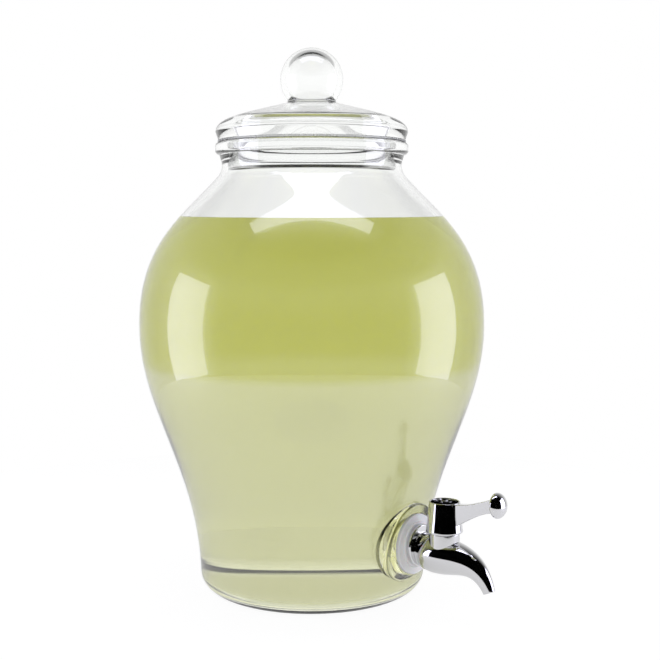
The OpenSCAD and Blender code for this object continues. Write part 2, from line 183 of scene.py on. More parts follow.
def shaped(kind, piece, tool):
    """Adds a tool to a piece, cuts it off, or keeps what they share, and takes the tool away."""
    step = piece.modifiers.new("shape", "BOOLEAN")
    step.operation = kind
    step.object = tool
    step.solver = "EXACT"
    settled(piece)
    bpy.data.objects.remove(tool)


def crisp(piece, degrees=30):
    """Gives smooth shading that breaks at edges sharper than this."""
    piece.data.shade_smooth()
    piece.data.set_sharp_from_angle(angle=math.radians(degrees))


def principled(name, **sockets):
    """A material whose shader has these constant values, named with _ for a space."""
    material = bpy.data.materials.new(name)
    material.use_nodes = True
    shader = material.node_tree.nodes["Principled BSDF"]
    for socket, value in sockets.items():
        shader.inputs[socket.replace("_", " ")].default_value = value
    return material


def patches(material, size, detail):
    """A noise over a material's object whose patches have this size. It returns its factor."""
    nodes, links = material.node_tree.nodes, material.node_tree.links
    where = nodes.new("ShaderNodeTexCoord")
    noise = nodes.new("ShaderNodeTexNoise")
    noise.inputs["Scale"].default_value = 1 / (size * MM)
    noise.inputs["Detail"].default_value = detail
    links.new(where.outputs["Object"], noise.inputs["Vector"])
    return noise.outputs["Fac"]


noise_span = (0.3, 0.7)


def mottle(material, socket, size, low, high):
    """Drives one socket of the shader between two values or colours, in patches of this size."""
    nodes, links = material.node_tree.nodes, material.node_tree.links
    ramp = nodes.new("ShaderNodeValToRGB")
    for element, position, value in zip(ramp.color_ramp.elements, noise_span, (low, high)):
        element.position = position
        element.color = value if isinstance(value, tuple) else (value, value, value, 1)
    links.new(patches(material, size, detail=3), ramp.inputs["Fac"])
    links.new(ramp.outputs["Color"], nodes["Principled BSDF"].inputs[socket])


def ripple(material, size, height):
    """Gives the surface waves of this size and height."""
    nodes, links = material.node_tree.nodes, material.node_tree.links
    bump = nodes.new("ShaderNodeBump")
    bump.inputs["Distance"].default_value = height * MM
    links.new(patches(material, size, detail=2), bump.inputs["Height"])
    links.new(bump.outputs["Normal"], nodes["Principled BSDF"].inputs["Normal"])


# Outer line of the wall, from the base corner up to the top of the neck bend
foot = Vector((foot_r, base_round))
belly = Vector((belly_r, belly_z))
shoulder = Vector((shoulder_r, shoulder_z))
foot_way = Vector((math.sin(foot_lean), math.cos(foot_lean)))
shoulder_way = Vector((math.sin(shoulder_lean), -math.cos(shoulder_lean)))
wall_line = ([foot]
             + curve([foot, foot + foot_pull * foot_way,
                      belly - Vector((0, belly_full_down)), belly])
             + curve([belly, belly + Vector((0, belly_full_up)),
                      shoulder + shoulder_pull * shoulder_way, shoulder])
             + arc((neck_r + bend_r, bend_top_z), bend_r, 180 + math.degrees(shoulder_lean), 180)[1:])


def inner_line(depth, floor, corner):
    """The wall's line moved inwards by a depth, from the base's inner corner up to the neck."""
    side = [point for point in moved(wall_line, depth) if point.y > floor + corner]
    return arc((foot_r - depth - corner, floor + corner), corner, -90, 0) + side


# Distances out along the tap's axis, from the jar's axis. The tap points to the front.
below = max(index for index, point in enumerate(wall_line) if point.y <= tap_z)
step = wall_line[below + 1] - wall_line[below]
wall_x = wall_line[below].x + step.x * (tap_z - wall_line[below].y) / step.y
boss_x = wall_x + boss_out
seat_x = boss_x + seat_out
pad_x = wall_x - wall - pad_in
tap_side = Matrix.Rotation(math.radians(-90), 4, "Z")
along_tap = tap_side @ Matrix.Translation((0, 0, tap_z)) @ Matrix.Rotation(math.radians(90), 4, "Y")


def bar(name, radius, start, end):
    """A round bar along the tap's axis, between two distances out."""
    return turned(name, [(0, start), (radius, start), (radius, end), (0, end)], along_tap, tap_sides)


kick_r = foot_r - base_round
jar = turned("jar_glass", [Vector((0, base_kick))]
             + curve([(0, base_kick), (kick_r * kick_in, base_kick), (kick_r * kick_out, 0),
                      (kick_r, 0)], steps=arc_steps)
             + arc((kick_r, base_round), base_round, -90, 0)[1:]
             + wall_line[1:]
             + arc((rim_r - rim_round, rim_z + rim_round), rim_round, -90, 0)
             + arc((rim_r - rim_round, seat_z - rim_round), rim_round, 0, 90)
             + [Vector((0, seat_z))])
boss_depth = wall + boss_r / 2
boss_place = (tap_side @ Matrix.Translation((boss_x, 0, tap_z))
              @ Matrix.Rotation(math.radians(90) + boss_lean, 4, "Y"))
boss = turned("boss", [(0, -boss_depth), (boss_r, -boss_depth)]
              + arc((boss_r - boss_round, -boss_round), boss_round, 0, 90)
              + [(0, 0)], boss_place)
seat = turned("seat", [(0, pad_x), (seat_r, pad_x), (seat_r + seat_flare, seat_x - seat_flare_depth),
                       (seat_r, seat_x), (0, seat_x)], along_tap, tap_sides)
cavity = turned("cavity", [(0, base_t)] + inner_line(wall, base_t, base_inner_round)
                + [Vector((neck_in_r, seat_z - rim_edge))]
                + arc((neck_in_r + rim_edge, seat_z - rim_edge), rim_edge, 180, 90)
                + [(neck_in_r + rim_edge, seat_z + cut_past), (0, seat_z + cut_past)])
shaped("UNION", jar, boss)
shaped("UNION", jar, seat)
shaped("DIFFERENCE", cavity, bar("pad", pad_r, pad_x, seat_x))
shaped("DIFFERENCE", jar, cavity)
shaped("DIFFERENCE", jar, bar("hole", hole_r, pad_x - cut_past, seat_x + cut_past))
shaped("DIFFERENCE", jar, bar("grinding", seat_r + hair, seat_x, seat_x + boss_r))
crisp(jar)


def wall_normals(piece, lines):
    """Turns the normals of the turned walls back to their true direction after the cuts."""
    reach = 3
    least_r = 0.1
    same_way = 0.985
    known = {}
    walls = []
    for line in lines:
        for index, point in enumerate(line):
            go = line[min(index + 1, len(line) - 1)] - line[max(index - 1, 0)]
            walls.append((point, Vector((go.y, -go.x)).normalized()))

    def out_at(spot):
        """The way out of the wall at a (radius, height) spot, or None where no wall is near."""
        near = [((place - spot).length, out) for place, out in walls if abs(place.y - spot.y) <= reach]
        near.sort(key=lambda pair: pair[0])
        if not near or near[0][0] >= reach:
            return None
        return sum((out / (gap + tiny) for gap, out in near[:2]), Vector((0, 0))).normalized()

    normals = [Vector((0, 0, 0))] * len(piece.data.loops)
    for face in piece.data.polygons:
        for loop in face.loop_indices:
            corner = piece.data.vertices[piece.data.loops[loop].vertex_index].co / MM
            spot = Vector((math.hypot(corner.x, corner.y), corner.z))
            if spot.x < least_r:
                continue
            key = (round(spot.x, 2), round(spot.y, 2))
            if key not in known:
                known[key] = out_at(spot)
            out = known[key]
            if out is None:
                continue
            way = Vector((corner.x / spot.x * out.x, corner.y / spot.x * out.x, out.y))
            along = way.dot(face.normal)
            if abs(along) > same_way:
                normals[loop] = way if along > 0 else -way
    piece.data.normals_split_custom_set(normals)


wall_normals(jar, [wall_line, inner_line(wall, base_t, base_inner_round)])

glass = principled("clear_glass", Base_Color=(0.985, 0.995, 0.985, 1), Roughness=0.0, IOR=1.5,
                   Transmission_Weight=1.0, Specular_IOR_Level=0.38)
mottle(glass, "Base Color", size=60, low=(0.985, 0.99, 0.985, 1), high=(0.995, 1.0, 0.995, 1))
jar.data.materials.append(glass)
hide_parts("jar")
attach(jar, "vessel")


# ---------------------------------------------------------------- Detergent
# Liquid laundry detergent, clear and yellow-green. It fills the jar up to the shoulder, wets the
# glass and climbs it a little at the edge, and lies round the nut and the tap's tail.
fill_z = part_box("detergent_fill")[1].z / MM
wetting = 0.15

# A film of air under the liquid, because two faces that touch would lose the light between them
floor_gap = 0.1

meniscus_h = 0.4
meniscus_w = 2.6
meniscus_power = 2.5
meniscus_steps = 8
floor_z = base_t + floor_gap
liquid_side = [point for point in inner_line(wall - wetting, floor_z, base_inner_round + wetting)
               if point.y < fill_z + meniscus_h]
surface = []
for step in range(1, meniscus_steps + 1):
    share = step / meniscus_steps
    surface.append(Vector((liquid_side[-1].x - meniscus_w * share,
                           fill_z + meniscus_h * (1 - share) ** meniscus_power)))
detergent = turned("detergent", [Vector((0, floor_z))] + liquid_side + surface
                   + [Vector((0, fill_z))])
shaped("DIFFERENCE", detergent, bar("pad", pad_r - wetting, pad_x + wetting, belly_r))
crisp(detergent, degrees=40)
wall_normals(detergent, [liquid_side])

# The colour goes with the height, and part of it is painted light: nearly clear at the floor, painted
# light against the shade at the base; pale up to the belly, a painted reflection of the floor's light; the
# liquid's own stronger colour above it, and a little paler again near the surface.
painted_light_h = 0.3
painted_haze_h = 10
painted_light_z = base_t + painted_light_h
painted_haze_z = base_t + painted_haze_h
painted_haze_top_z = 144
strong_z = 149
strong_top_z = 182
surface_z = 206
# The tint at the floor is painted light against the shade at the base, and the tint up to the belly is a
# painted reflection of the floor's light
painted_light_tint = (0.99, 0.99, 0.97, 1)
painted_haze_tint = (0.655, 0.655, 0.41, 1)
strong_tint = (0.535, 0.545, 0.085, 1)
surface_tint = (0.595, 0.605, 0.21, 1)
tints = {painted_light_z: painted_light_tint, painted_haze_z: painted_haze_tint, painted_haze_top_z: painted_haze_tint, strong_z: strong_tint,
         strong_top_z: strong_tint, surface_z: surface_tint}


def set_stops(ramp, colours):
    """Gives a colour ramp these colours at these positions."""
    elements = ramp.color_ramp.elements
    elements.remove(elements[0])
    for position, colour in colours.items():
        elements.new(position).color = colour
    elements.remove(elements[-1])


liquid = principled("detergent", Roughness=0.0, IOR=1.33, Transmission_Weight=1.0,
                    Coat_Weight=1.0, Coat_Roughness=0.28, Coat_IOR=2.0,
                    Sheen_Weight=0.3, Sheen_Roughness=0.4, Sheen_Tint=(0.85, 0.85, 1, 1))
nodes, links = liquid.node_tree.nodes, liquid.node_tree.links
where = nodes.new("ShaderNodeTexCoord")
split = nodes.new("ShaderNodeSeparateXYZ")
height = nodes.new("ShaderNodeMapRange")
height.inputs["From Max"].default_value = fill_z * MM
tint = nodes.new("ShaderNodeValToRGB")
set_stops(tint, {level / fill_z: colour for level, colour in tints.items()})
links.new(where.outputs["Object"], split.inputs["Vector"])
links.new(split.outputs["Z"], height.inputs["Value"])
links.new(height.outputs["Result"], tint.inputs["Fac"])
links.new(tint.outputs["Color"], nodes["Principled BSDF"].inputs["Base Color"])

# A soft coat scatters a little light at the sides, and fades out towards the floor
fade = nodes.new("ShaderNodeMapRange")
fade.inputs["From Min"].default_value = painted_light_z * MM
fade.inputs["From Max"].default_value = painted_haze_z * MM
links.new(split.outputs["Z"], fade.inputs["Value"])
links.new(fade.outputs["Result"], nodes["Principled BSDF"].inputs["Coat Weight"])
depth = nodes.new("ShaderNodeVolumeAbsorption")
depth.inputs["Color"].default_value = (0.93, 0.95, 0.45, 1)
depth.inputs["Density"].default_value = 3.0
links.new(depth.outputs["Volume"], nodes["Material Output"].inputs["Volume"])
detergent.data.materials.append(liquid)
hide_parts("detergent_fill")
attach(detergent, "vessel")


# ---------------------------------------------------------------- Lid
# The lid is blown from the same glass in one piece: a low dome with a hollow ball knob, and a skirt
# that hangs into the jar's neck and keeps the lid from sliding off.
gasket_t = 1.5
gasket_inset = 1.6
lid_inset = 0.3
lid_edge_h = 4.8
dome_h = 18.4
dome_slope = math.radians(13.5)
dome_pull = 35.8
dome_edge_pull = 7.2
dome_t = 4.2
under_corner_r = 1.2
under_corner_turn = 70
skirt_t = 2.8
skirt_h = 19.6
skirt_gap = 0.4
skirt_bevel_h = 2.0
skirt_bevel_w = 1.9
skirt_round = 0.4
knob_r = 19.9
knob_neck_r = 15.3
knob_foot_r = 17
knob_foot_h = 1.4
knob_collar_h = 0.6
knob_t = 3.7
throat_round = 1.2

lid_seat_z = seat_z + gasket_t
lid_r = rim_r - lid_inset
gasket_r = rim_r - gasket_inset
lid_under_r = gasket_r - lid_inset
lid_edge_z = lid_seat_z + lid_edge_h
dome_top_z = lid_edge_z + dome_h
skirt_r = neck_in_r - skirt_gap
skirt_in_r = skirt_r - skirt_t
skirt_low_z = lid_seat_z - skirt_h
knob_collar_z = dome_top_z + knob_foot_h
knob_z = knob_collar_z + knob_collar_h + math.sqrt(knob_r ** 2 - knob_neck_r ** 2)
knob_neck_turn = math.degrees(math.acos(knob_neck_r / knob_r))
hollow_r = knob_r - knob_t
throat_r = knob_neck_r - knob_t
throat_turn = math.degrees(math.acos(throat_r / hollow_r))
dome_way = Vector((math.cos(dome_slope), -math.sin(dome_slope)))
dome_foot = Vector((knob_foot_r, dome_top_z))
over_dome = curve([(lid_r, lid_edge_z), (lid_r, lid_edge_z + dome_edge_pull),
                   dome_foot + dome_pull * dome_way, dome_foot])
under_dome = [point for point in moved(over_dome, dome_t) if point.x < skirt_in_r - under_corner_r]
under_dome.reverse()
under_corner = arc(under_dome[-1] - Vector((0, under_corner_r)), under_corner_r,
                   under_corner_turn, 0, steps=8)
throat_z = dome_top_z - dome_t + throat_round
hollow = ([Vector((0, knob_z + hollow_r))]
          + arc((0, knob_z), hollow_r, 90, -throat_turn, steps=40)[1:]
          + arc((throat_r + throat_round, throat_z), throat_round, 180, 270, steps=8))
skirt = ([Vector((skirt_in_r, skirt_low_z + skirt_bevel_h)),
          Vector((skirt_in_r + skirt_bevel_w, skirt_low_z))]
         + arc((skirt_r - skirt_round, skirt_low_z + skirt_round), skirt_round, 270, 360, steps=6)
         + [Vector((skirt_r, lid_seat_z))])
edge = [Vector((lid_under_r, lid_seat_z)), Vector((lid_r, lid_edge_z))]
knob_foot = []
for step in range(1, arc_steps + 1):
    turn = math.radians(90 * step / arc_steps)
    knob_foot.append(Vector((knob_foot_r - (knob_foot_r - knob_neck_r) * math.sin(turn),
                             knob_collar_z - knob_foot_h * math.cos(turn))))
ball = arc((0, knob_z), knob_r, -knob_neck_turn, 90, steps=48)[:-1] + [Vector((0, knob_z + knob_r))]
lid = turned("glass_lid", hollow + under_dome + under_corner + skirt + edge + over_dome + knob_foot + ball)
crisp(lid)
lid.data.materials.append(glass)
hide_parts("lid")
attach(lid, "cover")


# ---------------------------------------------------------------- Lid gasket
# A flat ring of clear silicone, cut from sheet. It grips the lid's skirt and seals on the jar's rim.
gasket_slip = 0.15
gasket_edge = 0.4
gasket_in_r = skirt_r + gasket_slip
gasket_edge_r = gasket_r - gasket_edge
gasket = turned("gasket_ring", [(gasket_in_r, seat_z), (gasket_edge_r, seat_z)]
                + arc((gasket_edge_r, seat_z + gasket_edge), gasket_edge, -90, 0, steps=4)
                + arc((gasket_edge_r, lid_seat_z - gasket_edge), gasket_edge, 0, 90, steps=4)
                + [(gasket_in_r, lid_seat_z)], ring=True)
crisp(gasket)
clear_silicone = principled("clear_silicone", Roughness=0.3, IOR=1.41, Transmission_Weight=0.75,
                            Base_Color=(0.9, 0.91, 0.9, 1))
mottle(clear_silicone, "Roughness", size=2.5, low=0.22, high=0.38)
gasket.data.materials.append(clear_silicone)
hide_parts("lid_gasket")
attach(gasket, "cover")


# ---------------------------------------------------------------- Washers
# Two moulded silicone washers hold the glass between them. The white outer one has a raised step
# under the tap's collar. The inner one, under the nut, is a plain ring of uncoloured silicone.
washer_r = 18.4
washer_t = 2.3
washer_step_r = 14
washer_step_t = 1.3
washer_step_round = 0.6
shank_r = 7.9
slip_gap = 0.15
step_x = seat_x + washer_t
collar_x = step_x + washer_step_t
washer_edge = washer_t / 3
washer_in_r = shank_r + slip_gap
outer_washer = turned("stepped_washer", [(washer_in_r, seat_x), (washer_r, seat_x)]
                      + arc((washer_r - washer_edge, step_x - washer_edge), washer_edge, 0, 90, steps=8)
                      + [(washer_step_r, step_x)]
                      + arc((washer_step_r - washer_step_round, collar_x - washer_step_round),
                            washer_step_round, 0, 90, steps=8)
                      + [(washer_in_r, collar_x)], along_tap, ring=True)
crisp(outer_washer)
white_silicone = principled("white_silicone", Roughness=0.45, Specular_IOR_Level=0.4,
                            Subsurface_Weight=0.2, Subsurface_Scale=0.002)
mottle(white_silicone, "Base Color", size=5, low=(0.93, 0.925, 0.89, 1), high=(0.97, 0.965, 0.94, 1))
ripple(white_silicone, size=0.8, height=0.02)
outer_washer.data.materials.append(white_silicone)
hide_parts("outer_washer")
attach(outer_washer, "vessel")

inner_washer_r = 14
inner_washer_t = 2.5
inner_washer_round = 0.5
nut_x = pad_x - inner_washer_t
inner_edge_r = inner_washer_r - inner_washer_round
inner_washer = turned("plain_washer", [(washer_in_r, nut_x), (inner_edge_r, nut_x)]
                      + arc((inner_edge_r, nut_x + inner_washer_round), inner_washer_round,
                            -90, 0, steps=6)
                      + arc((inner_edge_r, pad_x - inner_washer_round), inner_washer_round,
                            0, 90, steps=6)
                      + [(washer_in_r, pad_x)], along_tap, tap_sides, ring=True)
crisp(inner_washer)

# A faint glow stands for the light that the clear boss lets through to the ring
natural_silicone = principled("natural_silicone", Roughness=0.45, Specular_IOR_Level=0.4,
                              Emission_Color=(0.88, 0.88, 0.6, 1), Emission_Strength=0.4)
mottle(natural_silicone, "Base Color", size=5, low=(0.84, 0.84, 0.76, 1), high=(0.9, 0.9, 0.83, 1))
inner_washer.data.materials.append(natural_silicone)
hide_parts("inner_washer")
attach(inner_washer, "vessel")


# ---------------------------------------------------------------- Backing nut
# A hexagon nut with a round flange, moulded in natural nylon, run up the shank inside the jar.
nut_flats = 22
nut_flange_r = 13.6
nut_flange_t = 1.8
nut_hex_t = 4.7
nut_chamfer = 1.0
nut_round = 0.25
nut_overlap = 0.2
thread_gap = 0.1
hex_x = nut_x - nut_flange_t
nut_end_x = hex_x - nut_hex_t
hex_r = nut_flats / 2 / math.cos(math.radians(30))
blank_r = hex_r + nut_overlap


def rounded(piece, width, segments, degrees=30):
    """Rounds the edges sharper than this, over a width."""
    rounding = piece.modifiers.new("rounding", "BEVEL")
    rounding.width = width * MM
    rounding.segments = segments
    rounding.limit_method = "ANGLE"
    rounding.angle_limit = math.radians(degrees)
    settled(piece)


nut = turned("flanged_nut", [(0, nut_end_x), (nut_flats / 2, nut_end_x),
                             (blank_r, nut_end_x + nut_chamfer), (blank_r, hex_x), (0, hex_x)],
             along_tap, sides=96)
hexagon = turned("hexagon", [(0, nut_end_x - cut_past), (hex_r, nut_end_x - cut_past),
                             (hex_r, hex_x + cut_past), (0, hex_x + cut_past)], along_tap, sides=6)
shaped("INTERSECT", nut, hexagon)
shaped("UNION", nut, bar("flange", nut_flange_r, hex_x - nut_overlap, nut_x))
shaped("DIFFERENCE", nut, bar("thread_hole", shank_r + thread_gap, nut_end_x - cut_past, nut_x + cut_past))
rounded(nut, nut_round, segments=2)
crisp(nut)
natural_plastic = principled("natural_plastic", Roughness=0.2, IOR=1.53, Transmission_Weight=0.85,
                             Base_Color=(0.94, 0.94, 0.9, 1))
mottle(natural_plastic, "Roughness", size=3, low=0.15, high=0.28)
nut.data.materials.append(natural_plastic)
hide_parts("backing_nut")
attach(nut, "vessel")


# ---------------------------------------------------------------- Tap body
# The tap's body is die-cast and chrome-plated: a threaded shank and collar, a short barrel, a round
# valve socket, and a spout that swells under the valve and then draws out to a narrow mouth.
shank_proud = 2.8
shank_tip_in = 1
thread_depth = 0.4
thread_lead = 0.8
inlet_r = 4
collar_r = 12.7
collar_t = 3
barrel_r = 7.6
barrel_fillet = 0.8
barrel_short = 2
valve_reach = 18.7
socket_r = 9.25
socket_top = 10.9
socket_round = 0.5
socket_floor = 2
bore_r = 6.5
barrel_x = collar_x + collar_t
valve_x = collar_x + valve_reach
shank_end_x = nut_end_x - shank_proud
barrel_end_x = valve_x - barrel_short
socket_z = tap_z + socket_top
collar_edge = collar_t / 5
thread_r = shank_r - thread_depth
fillet_r = barrel_r + barrel_fillet
over_valve = tap_side @ Matrix.Translation((valve_x, 0, 0))

shank = turned("shank", [(inlet_r, shank_end_x), (shank_r - shank_tip_in, shank_end_x),
                         (thread_r, shank_end_x + thread_lead), (thread_r, nut_x),
                         (shank_r, nut_x), (shank_r, collar_x), (collar_r, collar_x)]
               + arc((collar_r - collar_edge, barrel_x - collar_edge), collar_edge, 0, 90, steps=8)
               + [(fillet_r, barrel_x)]
               + arc((fillet_r, barrel_x + barrel_fillet), barrel_fillet, -90, -180, steps=8)
               + [(barrel_r, barrel_end_x), (inlet_r, barrel_end_x)], along_tap, tap_sides, ring=True)
socket = turned("socket", [(0, tap_z - bore_r / 2), (socket_r, tap_z - bore_r / 2)]
                + arc((socket_r - socket_round, socket_z - socket_round), socket_round, 0, 90, steps=6)
                + [(bore_r, socket_z), (bore_r, tap_z + socket_floor), (0, tap_z + socket_floor)],
                over_valve, tap_sides)

# The spout's middle line and its radius both follow cubic curves. It starts a share of its length
# further back than the handles that these sizes give, and it is bored from its mouth.
outlet_reach = 31.9
outlet_drop = 19.7
outlet_r = 3.6
spout_start_out = 0.4
spout_start_drop = 1.6
spout_start_pull = 0.27
spout_end_pull = 0.795
spout_dip = 6.2
spout_rise = 6.6
spout_root_r = 8.9
spout_full_r = 15.2
spout_slim_r = 6.7
spout_back = -0.16
spout_bore_r = 2.3
spout_bore_start = 0.6
spout_bore_end = 1.03
lip_round = 0.35


def stretched(handles, start, end):
    """The four handles of the part of a cubic curve between two shares of its length."""
    def blended(a, b, c):
        level = list(handles)
        for share in (a, b, c):
            level = [p * (1 - share) + q * share for p, q in zip(level, level[1:])]
        return level[0]
    return [blended(start, start, start), blended(start, start, end), blended(start, end, end),
            blended(end, end, end)]


spout_start = Vector((barrel_x + spout_start_out, tap_z - spout_start_drop))
outlet = Vector((valve_x + outlet_reach, tap_z - outlet_drop))
span = outlet.x - spout_start.x
spout_line = [spout_start,
              Vector((spout_start.x + spout_start_pull * span, spout_start.y - spout_dip)),
              Vector((spout_start.x + spout_end_pull * span, spout_start.y + spout_rise)), outlet]
spout_radii = [spout_root_r, spout_full_r, spout_slim_r, outlet_r]


def spout_tree():
    """Geometry Nodes: a tube along a cubic curve whose radius follows a cubic curve too."""
    tree = bpy.data.node_groups.new("spout", "GeometryNodeTree")
    face = tree.interface
    places = ("Start", "Start handle", "End handle", "End")
    radii = ("Start radius", "Start radius pull", "End radius pull", "End radius")
    face.new_socket("Geometry", in_out="OUTPUT", socket_type="NodeSocketGeometry")
    for name in places:
        face.new_socket(name, in_out="INPUT", socket_type="NodeSocketVector")
    for name in radii:
        face.new_socket(name, in_out="INPUT", socket_type="NodeSocketFloat")
    face.new_socket("Steps", in_out="INPUT", socket_type="NodeSocketInt")
    face.new_socket("Sides", in_out="INPUT", socket_type="NodeSocketInt")
    face.new_socket("Material", in_out="INPUT", socket_type="NodeSocketMaterial")
    nodes, links = tree.nodes, tree.links
    given = nodes.new("NodeGroupInput").outputs
    line = nodes.new("GeometryNodeCurvePrimitiveBezierSegment")
    for name in places:
        links.new(given[name], line.inputs[name.title()])
    links.new(given["Steps"], line.inputs["Resolution"])
    points = nodes.new("GeometryNodeResampleCurve")
    points.mode = "EVALUATED"
    links.new(line.outputs["Curve"], points.inputs["Curve"])
    index = nodes.new("GeometryNodeInputIndex")
    share = nodes.new("ShaderNodeMath")
    share.operation = "DIVIDE"
    links.new(index.outputs["Index"], share.inputs[0])
    links.new(given["Steps"], share.inputs[1])
    level = [given[name] for name in radii]
    while len(level) > 1:
        nearer = []
        for low, high in zip(level, level[1:]):
            mix = nodes.new("ShaderNodeMix")
            mix.clamp_factor = False
            links.new(share.outputs["Value"], mix.inputs["Factor"])
            links.new(low, mix.inputs["A"])
            links.new(high, mix.inputs["B"])
            nearer.append(mix.outputs["Result"])
        level = nearer
    radius = nodes.new("GeometryNodeSetCurveRadius")
    links.new(points.outputs["Curve"], radius.inputs["Curve"])
    links.new(level[0], radius.inputs["Radius"])
    ring = nodes.new("GeometryNodeCurvePrimitiveCircle")
    ring.inputs["Radius"].default_value = 1.0
    links.new(given["Sides"], ring.inputs["Resolution"])
    tube = nodes.new("GeometryNodeCurveToMesh")
    tube.inputs["Fill Caps"].default_value = True
    links.new(radius.outputs["Curve"], tube.inputs["Curve"])
    links.new(ring.outputs["Curve"], tube.inputs["Profile Curve"])
    width = nodes.new("GeometryNodeInputRadius")
    links.new(width.outputs["Radius"], tube.inputs["Scale"])
    real = nodes.new("GeometryNodeRealizeInstances")
    finish = nodes.new("GeometryNodeSetMaterial")
    links.new(tube.outputs["Mesh"], real.inputs["Geometry"])
    links.new(real.outputs["Geometry"], finish.inputs["Geometry"])
    links.new(given["Material"], finish.inputs["Material"])
    links.new(finish.outputs["Geometry"], nodes.new("NodeGroupOutput").inputs["Geometry"])
    return tree


def grown(name, tree, **values):
    """A plain mesh grown by a node tree whose named inputs have these values."""
    piece = bpy.data.objects.new(name, bpy.data.meshes.new(name))
    bpy.context.scene.collection.objects.link(piece)
    growth = piece.modifiers.new("growth", "NODES")
    growth.node_group = tree
    for socket in tree.interface.items_tree:
        if socket.in_out == "INPUT" and socket.name.replace(" ", "_") in values:
            growth[socket.identifier] = values[socket.name.replace(" ", "_")]
    return settled(piece)


chrome = principled("chrome", Metallic=1.0, Base_Color=(0.74, 0.74, 0.745, 1), Roughness=0.05)
mottle(chrome, "Roughness", size=6, low=0.035, high=0.075)
ripple(chrome, size=9, height=0.004)
tube_tree = spout_tree()


def tube(name, line, radii, steps, sides):
    """A tube on the tap's middle plane, from (distance out, height) handles and four radii."""
    places = [tap_side @ Vector((point.x, 0, point.y)) * MM for point in line]
    return grown(name, tube_tree, Start=places[0], Start_handle=places[1],
                 End_handle=places[2], End=places[3],
                 Start_radius=radii[0] * MM, Start_radius_pull=radii[1] * MM,
                 End_radius_pull=radii[2] * MM, End_radius=radii[3] * MM,
                 Steps=steps, Sides=sides, Material=chrome)


spout = tube("spout", stretched(spout_line, spout_back, 1), stretched(spout_radii, spout_back, 1),
             steps=96, sides=64)
shaped("DIFFERENCE", spout, tube("bore", stretched(spout_line, spout_bore_start, spout_bore_end),
                                 [spout_bore_r] * 4, steps=32, sides=48))
rounded(spout, lip_round, segments=3, degrees=50)


def gathered(name, parts):
    """One object made of several parts' meshes."""
    shape = bmesh.new()
    for part in parts:
        shape.from_mesh(part.data)
        bpy.data.objects.remove(part)
    return new_piece(name, shape)


tap_body = gathered("chromed_tap", [shank, socket, spout])
crisp(tap_body, degrees=40)
tap_body.data.materials.clear()
tap_body.data.materials.append(chrome)
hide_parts("tap_body")
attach(tap_body, "vessel")


# ---------------------------------------------------------------- Valve
# Inside the socket a turned brass plug, with two rubber O-rings in its grooves, is held down by a
# threaded ring. These small parts are hidden under the handle and keep their own shapes.
brass = principled("brass", Metallic=1.0, Roughness=0.25)
mottle(brass, "Base Color", size=4, low=(0.71, 0.52, 0.24, 1), high=(0.8, 0.6, 0.3, 1))
rubber = principled("black_rubber", Roughness=0.6)
mottle(rubber, "Base Color", size=2, low=(0.012, 0.012, 0.013, 1), high=(0.03, 0.03, 0.032, 1))
steel = principled("steel", Metallic=1.0, Base_Color=(0.62, 0.62, 0.63, 1))
mottle(steel, "Roughness", size=3, low=0.16, high=0.3)
for node, finish in (("valve_plug", brass), ("upper_oring", rubber), ("lower_oring", rubber),
                     ("retaining_ring", steel)):
    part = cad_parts[node]
    part.data.materials.clear()
    part.data.materials.append(finish)


# ---------------------------------------------------------------- Handle
# The handle is cast and chromed in one piece: a waisted hub with an open cup on top, and a flat
# lever that rises away from it. The hub sits on the valve plug's stem and turns the plug.
handle_gap = 0.4
hub_h = 18.4
hub_low_r = 11.1
hub_top_r = 9.3
hub_round = 0.5
hub_low_in = 0.8
hub_low_h = 6
hub_high_out = 0.45
hub_high_h = 12
cup_depth = 10.7
cup_round = 1
lever_t = 5.4
lever_reach = 35.4
lever_rise = 21.2
lever_set_down = 0.4
lever_set_in = 1
lever_root_h = 12.4
lever_end_h = 8.4
lever_pull = 0.3
lever_edge = 0.3
hub_z = socket_z + handle_gap
hub_top_z = hub_z + hub_h
cup_z = hub_top_z - cup_depth
cup_r = hub_top_r - 2 * hub_round
button_x = valve_x + lever_reach
button_z = hub_z + lever_rise
hub = turned("hub", [(0, hub_z), (hub_low_r - hub_round, hub_z)]
             + arc((hub_low_r - hub_round, hub_z + hub_round), hub_round, -90, 0, steps=6)
             + curve([(hub_low_r, hub_z + hub_round), (hub_low_r - hub_low_in, hub_z + hub_low_h),
                      (hub_top_r + hub_high_out, hub_z + hub_high_h),
                      (hub_top_r, hub_top_z - hub_round)], steps=16)
             + arc((hub_top_r - hub_round, hub_top_z - hub_round), hub_round, 0, 180, steps=10)
             + [(cup_r, cup_z + cup_round)]
             + arc((cup_r - cup_round, cup_z + cup_round), cup_round, 0, -90, steps=6)
             + [(0, cup_z)], over_valve, tap_sides)


def lever_outline():
    """Side outline of the lever as (distance out, height) points: its underside, end and top."""
    root_x = valve_x + (hub_low_r + hub_top_r) / 2 - lever_set_in
    root_top = hub_top_z - lever_set_down
    root_low = root_top - lever_root_h - lever_set_in
    end_top = button_z + lever_end_h / 2
    end_low = button_z - lever_end_h / 2
    pull = lever_pull * (button_x - root_x)
    under_rise = 5
    under_dip = 1
    top_dip = 3
    under = curve([(root_x, root_low), (root_x + pull, root_low + under_rise),
                   (button_x - pull, end_low - under_dip), (button_x, end_low)], steps=16)
    top = curve([(button_x, end_top), (button_x - pull, end_top - top_dip),
                 (root_x + pull, root_top), (root_x, root_top)], steps=16)
    return [Vector((root_x, root_low))] + under + [Vector((button_x, end_top))] + top


